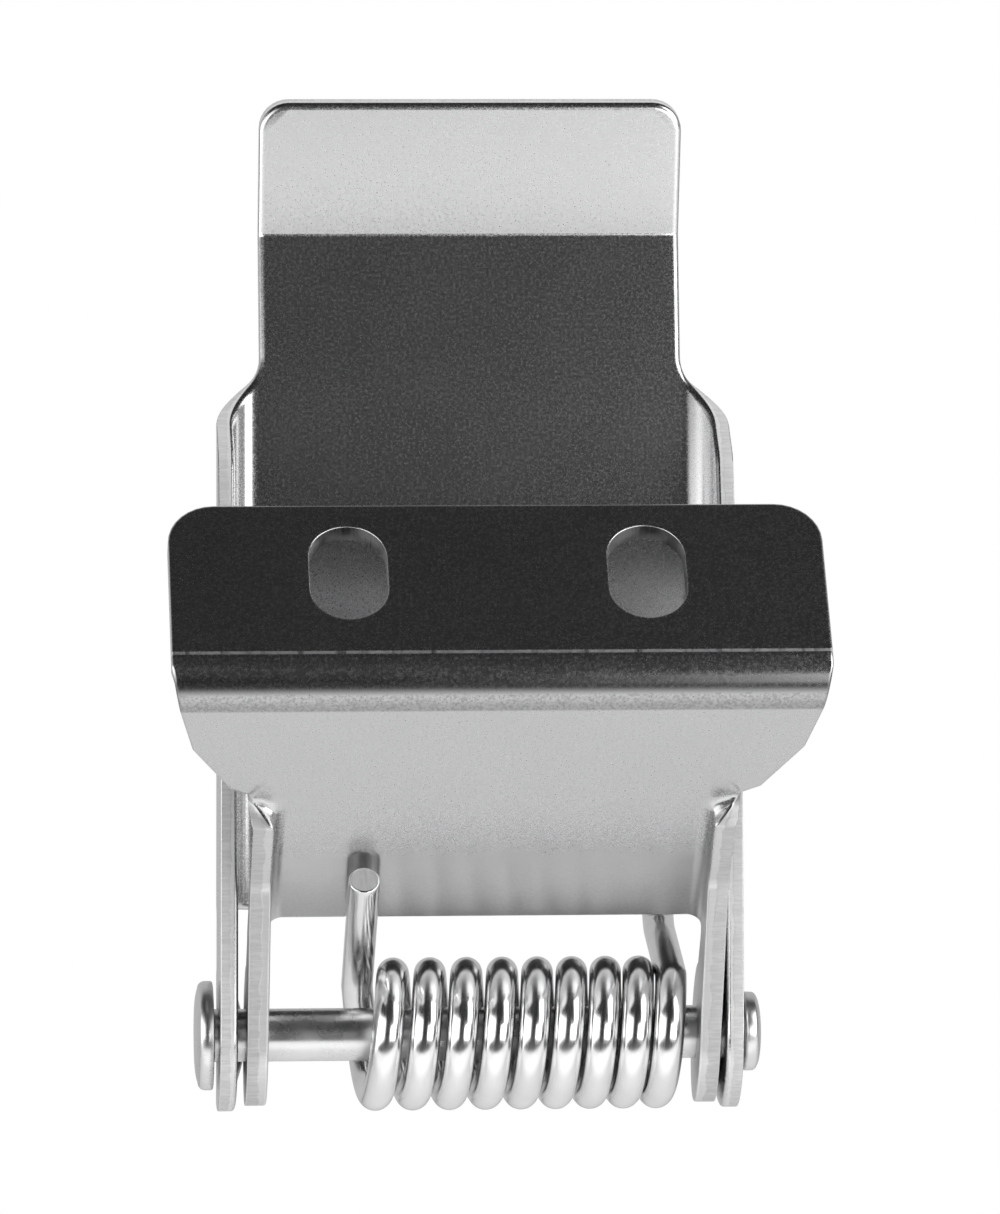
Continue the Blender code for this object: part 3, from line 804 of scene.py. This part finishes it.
class Shading:
    """Short ways to add and join nodes in one tree."""

    def __init__(self, tree):
        self.tree = tree

    def node(self, kind, **settings):
        made = self.tree.nodes.new(kind)
        for name, value in settings.items():
            setattr(made, name, value)
        return made

    def feed(self, socket, value):
        if isinstance(value, bpy.types.NodeSocket):
            self.tree.links.new(value, socket)
        else:
            socket.default_value = value

    def math(self, operation, first, second):
        made = self.node("ShaderNodeMath", operation=operation)
        self.feed(made.inputs[0], first)
        self.feed(made.inputs[1], second)
        return made.outputs[0]

    def plus(self, first, second):
        return self.math("ADD", first, second)

    def times(self, first, second):
        return self.math("MULTIPLY", first, second)

    def most(self, first, second):
        return self.math("MAXIMUM", first, second)

    def ramp(self, value, low, high, to_low=0.0, to_high=1.0):
        """A smooth step from to_low to to_high as the value goes from low to high."""
        made = self.node("ShaderNodeMapRange", interpolation_type="SMOOTHSTEP")
        for name, amount in (("Value", value), ("From Min", low), ("From Max", high),
                             ("To Min", to_low), ("To Max", to_high)):
            self.feed(made.inputs[name], amount)
        return made.outputs["Result"]

    def band(self, value, low, high, edge):
        """1 between low and high, falling to 0 over the edge's width outside them."""
        rise = self.ramp(value, low - edge, low)
        fall = self.ramp(value, high, high + edge, 1.0, 0.0)
        return self.times(rise, fall)

    def mix(self, share_socket, first, second):
        made = self.node("ShaderNodeMix", data_type="RGBA")
        self.feed(made.inputs[0], share_socket)
        self.feed(made.inputs[6], first)
        self.feed(made.inputs[7], second)
        return made.outputs[2]

    def blend(self, share_socket, first, second):
        made = self.node("ShaderNodeMix", data_type="FLOAT")
        self.feed(made.inputs[0], share_socket)
        self.feed(made.inputs[2], first)
        self.feed(made.inputs[3], second)
        return made.outputs[0]

    def noise(self, vector, scale, detail=3.0, roughness=0.5, stretch=(1.0, 1.0, 1.0)):
        mapping = self.node("ShaderNodeMapping")
        self.feed(mapping.inputs["Vector"], vector)
        mapping.inputs["Scale"].default_value = stretch
        made = self.node("ShaderNodeTexNoise")
        self.feed(made.inputs["Vector"], mapping.outputs["Vector"])
        self.feed(made.inputs["Scale"], scale)
        made.inputs["Detail"].default_value = detail
        made.inputs["Roughness"].default_value = roughness
        return made.outputs["Fac"]

    def attribute(self, name, output="Fac"):
        return self.node("ShaderNodeAttribute", attribute_name=name).outputs[output]

    def combine(self, x, y, z):
        made = self.node("ShaderNodeCombineXYZ")
        for socket, value in zip(made.inputs, (x, y, z)):
            self.feed(socket, value)
        return made.outputs[0]

    def object_place(self):
        return self.node("ShaderNodeTexCoord").outputs["Object"]

    def grain(self, vector, **inputs):
        """Places the shared grain group and sets its named inputs."""
        made = self.node("ShaderNodeGroup", node_tree=plated_grain())
        self.feed(made.inputs["Vector"], vector)
        for name, value in inputs.items():
            made.inputs[name.replace("_", " ")].default_value = value
        return made.outputs

    def surface(self, shader, base, rough, height, distance):
        """Gives a shader its colour, its roughness and bumps that are distance high."""
        bump = self.node("ShaderNodeBump")
        bump.inputs["Distance"].default_value = distance
        self.feed(bump.inputs["Height"], height)
        self.feed(shader.inputs["Base Color"], base)
        self.feed(shader.inputs["Roughness"], rough)
        self.feed(shader.inputs["Normal"], bump.outputs["Normal"])


def metal(name, roughness):
    """A new metallic material, its node helper and its shader."""
    material = bpy.data.materials.new(name)
    material.use_nodes = True
    shader = material.node_tree.nodes["Principled BSDF"]
    shader.inputs["Metallic"].default_value = 1.0
    shader.inputs["Roughness"].default_value = roughness
    return material, Shading(material.node_tree), shader


def tint(base, factor):
    return (*[min(channel * factor, 1.0) for channel in base], 1.0)


def grey(value):
    return (value, value, value, 1.0)


GRAIN_GROUP = "Plated grain"


def plated_grain():
    """Fine specks, soft clouds and rolling lines that every plated surface shares."""
    if GRAIN_GROUP in bpy.data.node_groups:
        return bpy.data.node_groups[GRAIN_GROUP]
    tree = bpy.data.node_groups.new(GRAIN_GROUP, "ShaderNodeTree")
    sockets = tree.interface
    sockets.new_socket("Vector", in_out="INPUT", socket_type="NodeSocketVector")
    for name, default in (("Speck scale", 4500.0), ("Cloud scale", 160.0), ("Line scale", 900.0)):
        sockets.new_socket(name, in_out="INPUT", socket_type="NodeSocketFloat").default_value = default
    for name in ("Specks", "Clouds", "Lines", "Height"):
        sockets.new_socket(name, in_out="OUTPUT", socket_type="NodeSocketFloat")
    made = Shading(tree)
    given = made.node("NodeGroupInput").outputs
    result = made.node("NodeGroupOutput").inputs
    specks = made.noise(given["Vector"], given["Speck scale"], 2.0, 0.6)
    clouds = made.noise(given["Vector"], given["Cloud scale"], 4.0, 0.55)
    lines = made.noise(given["Vector"], given["Line scale"], 3.0, 0.6, (0.03, 1.0, 1.0))
    made.feed(result["Specks"], specks)
    made.feed(result["Clouds"], clouds)
    made.feed(result["Lines"], lines)
    made.feed(result["Height"], made.plus(made.times(specks, 0.6), made.times(lines, 0.4)))
    return tree


# ---- Materials ----

SHEET_GRAIN = 0.0006 * MM         # heights of the bumps on each kind of surface
PIN_GRAIN = 0.0012 * MM
WIRE_GRAIN = 0.0012 * MM
CUT_GRAIN = 0.012 * MM
HOLE_GRAIN = 0.008 * MM
END_GRAIN = 0.01 * MM
CREASE_EDGE = 0.1 * MM            # softness of the worn line along the tip's bend
DIE_LINE_HALF = 0.05 * MM         # half width of the main die line
DIE_LINE_EDGE = 0.06 * MM
FAINT_LINE = (-0.34 * MM, -0.28 * MM, 0.05 * MM)    # sides and softness of the faint die line
# Painted shade on the flange's bend: mottled by specks in its first half, strongest in a band at its
# middle.
SPECKLED_SHADE_BAND = (0.05, 0.44, 0.08)    # start, end and softness, as shares of the flange's bend
SPECKLED_SHADE_SHARE = 0.68
SHADED_BAND = (0.42, 0.52, 0.24)
SHADED_BAND_SHARE = 0.86
ROUGH_FOOT = (5.0 * MM, 16.0 * MM, 0.14, 0.0)       # from, to, and the amount at each
PALE_FOOT = (6.0 * MM, 12.0 * MM, 0.9, 0.0)
MARK_HEIGHT = -13.0               # against the grain's own height
SPECKLE_HEIGHT = 2.0
BURNISHED_SHARE = 0.42            # how far down a sheared edge its burnished band reaches
STREAK_REACH = 0.12 * MM          # how little a streak changes down the sheet's thickness


def sheet_finish(name, finish, roughness):
    """Plated cold-rolled sheet: specks, clouds and faint rolling lines."""
    material, made, shader = metal(name, roughness)
    grain = made.grain(made.object_place(), Speck_scale=6200.0, Cloud_scale=210.0, Line_scale=2600.0)
    cloud = made.ramp(grain["Clouds"], 0.3, 0.7)
    speck = made.ramp(grain["Specks"], 0.34, 0.66)
    clean = made.mix(cloud, tint(finish.sheet, 0.95), tint(finish.sheet, 0.98))
    base = made.mix(speck, clean, tint(finish.sheet, 1.05))
    rough = made.blend(cloud, roughness, roughness + 0.01)
    rough = made.plus(rough, made.times(made.math("SUBTRACT", speck, 0.5), 0.07))
    return material, made, shader, grain, base, rough


def leaf_sheet(finish, size, shape):
    """The leaf's face, with a line of wear along the tip's bend."""
    material, made, shader, grain, base, rough = sheet_finish("plated_leaf_sheet", finish,
                                                              finish.leaf_roughness)
    crease = made.band(made.attribute("blank_v"), size.tip_bend_z + CREASE_EDGE,
                       size.tip_bend_z + shape.tip_arc, CREASE_EDGE)
    wear = made.times(crease, made.ramp(grain["Specks"], 0.4, 0.6))
    base = made.mix(made.times(wear, 0.5), base, tint(finish.sheet, 1.3))
    made.surface(shader, base, rough, grain["Height"], SHEET_GRAIN)
    return material


def die_marks(made, shape):
    """The main die line where the flange's bend ends, and a faint one before it, both broken."""
    along = made.attribute("blank_v")
    line_v = shape.bend_end - DIE_LINE_HALF
    main = made.band(along, line_v - DIE_LINE_HALF, line_v + DIE_LINE_HALF, DIE_LINE_EDGE)
    start, end, edge = FAINT_LINE
    faint = made.band(along, line_v + start, line_v + end, edge)
    broken = made.noise(made.combine(made.attribute("blank_u"), 0.0, 0.0), 1400.0, 3.0, 0.7)
    return made.plus(made.times(main, made.ramp(broken, 0.32, 0.5)),
                     made.times(faint, made.ramp(broken, 0.45, 0.65, 0.0, 0.25)))


def bend_specks_and_shade(made, grain, shape):
    """How much of the flange's bend is painted dark: painted shade mottled by specks in its first
    half, and a band of painted shade at its middle.
    """
    share_bent = made.node("ShaderNodeMapRange")
    made.feed(share_bent.inputs["Value"], made.attribute("blank_v"))
    made.feed(share_bent.inputs["From Min"], shape.bend_start)
    made.feed(share_bent.inputs["From Max"], shape.bend_end)
    bent = share_bent.outputs["Result"]
    specks = made.ramp(grain["Specks"], 0.3, 0.7, 0.6, 1.0)
    speckled_shade = made.times(made.band(bent, *SPECKLED_SHADE_BAND), specks)
    # painted shade: a dark band across the middle of the bend
    shade_band = made.times(made.band(bent, *SHADED_BAND), SHADED_BAND_SHARE)
    return made.most(made.times(speckled_shade, SPECKLED_SHADE_SHARE), shade_band)


def bracket_sheet(finish, shape):
    """The bracket's face: die lines, a bend darkened by specks and by painted shade, and a paler,
    rougher foot to its plate.
    """
    material, made, shader, grain, base, rough = sheet_finish("plated_bracket_sheet", finish,
                                                              finish.bracket_roughness)
    along = made.attribute("blank_v")
    marks = die_marks(made, shape)
    specks_and_shade = bend_specks_and_shade(made, grain, shape)
    rough = made.plus(rough, made.times(marks, 0.25))
    rough = made.plus(rough, made.ramp(along, *ROUGH_FOOT))
    base = made.mix(made.ramp(along, *PALE_FOOT), base, tint(finish.sheet, 1.35))
    # painted shade, mottled by specks, darkens the flange's bend
    base = made.mix(specks_and_shade, base, tint(finish.sheet, 0.14))
    base = made.mix(marks, base, tint(finish.sheet, 1.4))
    height = made.plus(grain["Height"], made.times(marks, MARK_HEIGHT))
    height = made.plus(height, made.times(specks_and_shade, SPECKLE_HEIGHT))
    made.surface(shader, base, rough, height, SHEET_GRAIN)
    return material


def cut_edge(name, finish, metallic):
    """A sheared edge: a burnished band, then a torn one with marks down the sheet's thickness."""
    material, made, shader = metal(name, finish.cut_roughness)
    shader.inputs["Metallic"].default_value = metallic
    depth = made.attribute("blank_w")
    run_place = made.combine(made.attribute("cut_run"), made.times(depth, STREAK_REACH), 0.0)
    streaks = made.noise(run_place, 7000.0, 4.0, 0.6)
    patches = made.noise(made.object_place(), 900.0, 4.0, 0.6)
    ragged = made.times(made.math("SUBTRACT", patches, 0.5), 0.5)
    torn_line = made.plus(BURNISHED_SHARE, ragged)
    torn = made.ramp(made.math("SUBTRACT", depth, torn_line), -0.03, 0.05)
    base = made.mix(torn, tint(finish.cut, 1.08), tint(finish.cut, 0.88))
    streaked = made.times(made.ramp(streaks, 0.35, 0.7), 0.5)
    base = made.mix(streaked, base, tint(finish.cut, 1.22))
    rough = made.blend(torn, finish.cut_roughness - 0.08, finish.cut_roughness + 0.08)
    height = made.plus(streaks, made.times(made.times(torn, patches), 2.0))
    made.surface(shader, base, rough, height, CUT_GRAIN)
    return material


def shaded_hole_wall(finish):
    """The wall of a punched hole, burnished by the punch and painted darker than an open edge: painted
    shade inside the hole.
    """
    if "shaded_hole_wall" in bpy.data.materials:
        return bpy.data.materials["shaded_hole_wall"]
    material, made, shader = metal("shaded_hole_wall", finish.bracket_roughness)
    streaks = made.noise(made.combine(made.attribute("cut_run"), 0.0, 0.0), 6000.0, 4.0, 0.6)
    lit = made.ramp(streaks, 0.3, 0.7)
    # painted shade: the hole's wall is given a dark colour, with lighter streaks
    base = made.mix(lit, tint(finish.cut, 0.22), tint(finish.cut, 0.40))
    rough = made.blend(lit, finish.bracket_roughness, finish.cut_roughness)
    made.surface(shader, base, rough, streaks, HOLE_GRAIN)
    return material


def turned_pin(finish):
    """The rivet: bright plating with fine turning rings."""
    material, made, shader = metal("plated_rivet", finish.pin_roughness)
    place = made.object_place()
    grain = made.grain(place, Speck_scale=5200.0, Cloud_scale=420.0, Line_scale=2600.0)
    rings = made.noise(place, 6000.0, 3.0, 0.6, (1.0, 0.04, 0.04))
    cloud = made.ramp(grain["Clouds"], 0.3, 0.7)
    base = made.mix(cloud, tint(finish.pin, 0.94), tint(finish.pin, 1.05))
    rough = made.blend(cloud, finish.pin_roughness - 0.03, finish.pin_roughness + 0.05)
    height = made.plus(made.times(rings, 0.6), grain["Height"])
    made.surface(shader, base, rough, height, PIN_GRAIN)
    return material


def drawn_wire(finish):
    """The spring's wire: bright, with faint drawing lines along it."""
    material, made, shader = metal("plated_spring_wire", finish.wire_roughness)
    split = made.node("ShaderNodeSeparateXYZ")
    made.feed(split.inputs[0], made.attribute("wire_skin", "Vector"))
    passed = made.times(made.attribute("wire_run"), 0.02)
    drawing = made.noise(made.combine(split.outputs[0], split.outputs[1], passed), 5200.0, 3.0, 0.6)
    grain = made.grain(made.object_place(), Speck_scale=4200.0, Cloud_scale=380.0, Line_scale=2600.0)
    cloud = made.ramp(grain["Clouds"], 0.3, 0.7)
    base = made.mix(cloud, tint(finish.wire, 0.95), tint(finish.wire, 1.04))
    rough = made.blend(made.ramp(drawing, 0.35, 0.65), finish.wire_roughness - 0.02,
                       finish.wire_roughness + 0.04)
    height = made.plus(drawing, made.times(grain["Specks"], 0.3))
    made.surface(shader, base, rough, height, WIRE_GRAIN)
    return material


def sawn_end(finish):
    """The wire's cropped ends, with fine straight cutting marks."""
    material, made, shader = metal("cropped_wire_end", finish.cut_roughness)
    shader.inputs["Metallic"].default_value = 0.6
    marks = made.noise(made.object_place(), 5200.0, 3.0, 0.6, (1.0, 0.12, 0.12))
    base = made.mix(made.ramp(marks, 0.35, 0.65), tint(finish.cut, 0.95), tint(finish.cut, 1.2))
    made.surface(shader, base, finish.cut_roughness, marks, END_GRAIN)
    return material


# ---- Stage ----

# The floor's look in reflections is painted: dimmer towards the clip as painted shade, with a dark end
# in front.
NEAR_RAMP = (-0.10, 0.0)      # y over which the mirrored floor dims towards the clip
FAR_EDGE = 0.03               # softness of the lit floor's front edge
# name, place and target from the hinge, width, height, watts, and whether surfaces mirror it
LAMPS = (
    ("overhead_softbox", (0.0, -0.2, 1.2), (0.0, 0.0, -0.15), 1.6, 1.6, 24.0, False),
    ("right_low_softbox", (0.074, -0.111, -0.008), (0.0, 0.0, 0.012), 0.106, 0.050, 0.050, True),
    ("right_high_softbox", (0.104, -0.086, 0.063), (0.0, 0.0, 0.012), 0.084, 0.096, 0.069, True),
    ("left_softbox", (-0.110, -0.070, 0.014), (0.0, 0.0, 0.0), 0.185, 0.080, 0.080, True),
    ("front_fill", (0.0, -0.45, 0.10), (0.0, 0.0, 0.0), 0.4, 0.4, 0.55, False),
)


def make_floor(size):
    """A pale floor which surfaces mirror as a painted reflection: a lit sheet, dimmer towards the
    clip, with a dark end in front.
    """
    bm = bmesh.new()
    bmesh.ops.create_grid(bm, x_segments=1, y_segments=1, size=size.floor_size / 2,
                          matrix=Matrix.Translation(HINGE - Vector((0.0, 0.0, size.floor_drop))))
    mesh = bpy.data.meshes.new("studio_floor")
    bm.to_mesh(mesh)
    bm.free()
    material = bpy.data.materials.new("studio_floor")
    material.use_nodes = True
    made = Shading(material.node_tree)
    shader = material.node_tree.nodes["Principled BSDF"]
    mottle = made.noise(made.object_place(), 30.0, 4.0, 0.5)
    pale = made.mix(mottle, tint(size.floor_colour, 0.98), tint(size.floor_colour, 1.02))
    split = made.node("ShaderNodeSeparateXYZ")
    made.feed(split.inputs[0], made.object_place())
    y = split.outputs[1]
    end = -size.floor_front
    painted_reflection = made.mix(made.ramp(y, *NEAR_RAMP), grey(1.0), grey(0.70))
    far = made.ramp(y, end - FAR_EDGE, end + FAR_EDGE, 1.0, 0.0)
    painted_reflection = made.mix(far, painted_reflection, grey(0.05))
    # painted reflection: glossy rays see this painted floor colour instead of the pale one
    mirrored_ray = made.node("ShaderNodeLightPath").outputs["Is Glossy Ray"]
    made.feed(shader.inputs["Base Color"], made.mix(mirrored_ray, pale, painted_reflection))
    shader.inputs["Roughness"].default_value = 0.9
    mesh.materials.append(material)
    floor = bpy.data.objects.new("studio_floor", mesh)
    bpy.context.scene.collection.objects.link(floor)


def make_camera(size):
    """A long lens low in front, looking slightly up at the clip."""
    yaw = size.yaw
    pitch = size.pitch
    ahead = Vector((math.sin(yaw) * math.cos(pitch), math.cos(yaw) * math.cos(pitch), math.sin(pitch)))
    right = Vector((math.cos(yaw), -math.sin(yaw), 0.0))
    up = right.cross(ahead)
    turned_right = right * math.cos(size.roll) - up * math.sin(size.roll)
    turned_up = up * math.cos(size.roll) + right * math.sin(size.roll)
    target = HINGE + Vector((size.target_x, 0.0, size.target_z))
    data = bpy.data.cameras.new("camera")
    data.lens = size.lens
    data.sensor_width = 36.0
    data.clip_start = 0.01
    camera = bpy.data.objects.new("camera", data)
    axes = Matrix((turned_right, turned_up, -ahead)).transposed().to_4x4()
    camera.matrix_world = Matrix.Translation(target - ahead * size.distance) @ axes
    bpy.context.scene.collection.objects.link(camera)
    bpy.context.scene.camera = camera


def softbox(name, place, target, width, height, watts, glossy):
    """A soft rectangular lamp that lights the set; the camera never sees it."""
    data = bpy.data.lights.new(name, "AREA")
    data.shape = "RECTANGLE"
    data.size = width
    data.size_y = height
    data.energy = watts
    lamp = bpy.data.objects.new(name, data)
    lamp.location = HINGE + Vector(place)
    aim = HINGE + Vector(target) - lamp.location
    lamp.rotation_euler = aim.to_track_quat("-Z", "Y").to_euler()
    lamp.visible_camera = False
    lamp.visible_glossy = glossy
    bpy.context.scene.collection.objects.link(lamp)


def make_world():
    """A light tent: pale behind, below and at the sides, dark overhead and round the lens."""
    world = bpy.data.worlds.new("light_tent")
    world.use_nodes = True
    bpy.context.scene.world = world
    made = Shading(world.node_tree)
    background = world.node_tree.nodes["Background"]
    split = made.node("ShaderNodeSeparateXYZ")
    made.feed(split.inputs[0], made.node("ShaderNodeTexCoord").outputs["Generated"])
    x, y, z = split.outputs
    dark = made.ramp(z, 0.0, 0.5, 0.042, 0.025)
    below = made.ramp(z, -0.62, -0.40, 0.9, 0.0)
    behind = made.ramp(y, -0.05, 0.45, 0.0, 0.55)
    sides = made.plus(made.ramp(x, 0.75, 0.98, 0.0, 0.3), made.ramp(x, -0.98, -0.7, 0.55, 0.0))
    sides = made.times(sides, made.ramp(z, 0.3, 0.8, 1.0, 0.15))
    total = made.most(made.most(made.most(dark, below), behind), sides)
    seen = made.node("ShaderNodeLightPath").outputs["Is Camera Ray"]
    made.feed(background.inputs["Strength"], made.blend(seen, total, 1.0))
    background.inputs["Color"].default_value = grey(1.0)


def make_stage(size):
    make_floor(size)
    make_camera(size)
    make_world()
    for lamp in LAMPS:
        softbox(*lamp)
    bpy.context.scene.view_settings.view_transform = "Standard"


# ---- Operators ----

class CLIP_OT_leaf(bpy.types.Operator):
    """Build the swinging leaf with its bent tip and its two eyes"""
    bl_idname = "clip.leaf"
    bl_label = "Build the leaf"

    def execute(self, context):
        make_leaf(context.scene.clip_leaf, context.scene.clip_finish)
        return {"FINISHED"}


class CLIP_OT_bracket(bpy.types.Operator):
    """Build the slotted bracket with its flange, ears and spring groove"""
    bl_idname = "clip.bracket"
    bl_label = "Build the bracket"

    def execute(self, context):
        scene = context.scene
        make_bracket(scene.clip_bracket, scene.clip_spring, scene.clip_finish)
        return {"FINISHED"}


class CLIP_OT_rivet(bpy.types.Operator):
    """Build the rivet that the leaf turns on"""
    bl_idname = "clip.rivet"
    bl_label = "Build the rivet"

    def execute(self, context):
        make_rivet(context.scene.clip_rivet, context.scene.clip_finish)
        return {"FINISHED"}


class CLIP_OT_spring(bpy.types.Operator):
    """Build the torsion spring and let it twist between the bracket and the leaf"""
    bl_idname = "clip.spring"
    bl_label = "Build the spring"

    # Build the torsion spring
    def execute(self, context):
        make_spring(context.scene.clip_spring, context.scene.clip_finish)
        return {"FINISHED"}


class CLIP_OT_stage(bpy.types.Operator):
    """Set up the floor, the light tent, the lamps and the camera"""
    bl_idname = "clip.stage"
    bl_label = "Set up the stage"

    def execute(self, context):
        make_stage(context.scene.clip_stage)
        return {"FINISHED"}


SETTINGS = {
    "clip_leaf": LeafSettings,
    "clip_bracket": BracketSettings,
    "clip_rivet": RivetSettings,
    "clip_spring": SpringSettings,
    "clip_finish": FinishSettings,
    "clip_stage": StageSettings,
}
OPERATORS = (CLIP_OT_leaf, CLIP_OT_bracket, CLIP_OT_rivet, CLIP_OT_spring, CLIP_OT_stage)


class CLIP_PT_panel(bpy.types.Panel):
    """Lists the clip's operators and their settings"""
    bl_idname = "CLIP_PT_panel"
    bl_label = "Sprung mounting clip"
    bl_space_type = "VIEW_3D"
    bl_region_type = "UI"
    bl_category = "Clip"

    def draw(self, context):
        layout = self.layout
        for operator in OPERATORS:
            layout.operator(operator.bl_idname)
        for name, group in SETTINGS.items():
            box = layout.box()
            box.label(text=name.replace("clip_", "").capitalize())
            for prop in group.__annotations__:
                box.prop(getattr(context.scene, name), prop)


CLASSES = (*SETTINGS.values(), *OPERATORS, CLIP_PT_panel)


def register():
    for cls in CLASSES:
        bpy.utils.register_class(cls)
    for name, group in SETTINGS.items():
        setattr(bpy.types.Scene, name, PointerProperty(type=group))


def unregister():
    for name in SETTINGS:
        delattr(bpy.types.Scene, name)
    for cls in reversed(CLASSES):
        bpy.utils.unregister_class(cls)


def main():
    register()
    bpy.ops.clip.leaf()
    bpy.ops.clip.bracket()
    bpy.ops.clip.rivet()
    bpy.ops.clip.spring()
    bpy.ops.clip.stage()
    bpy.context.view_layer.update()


if __name__ == "__main__":
    main()
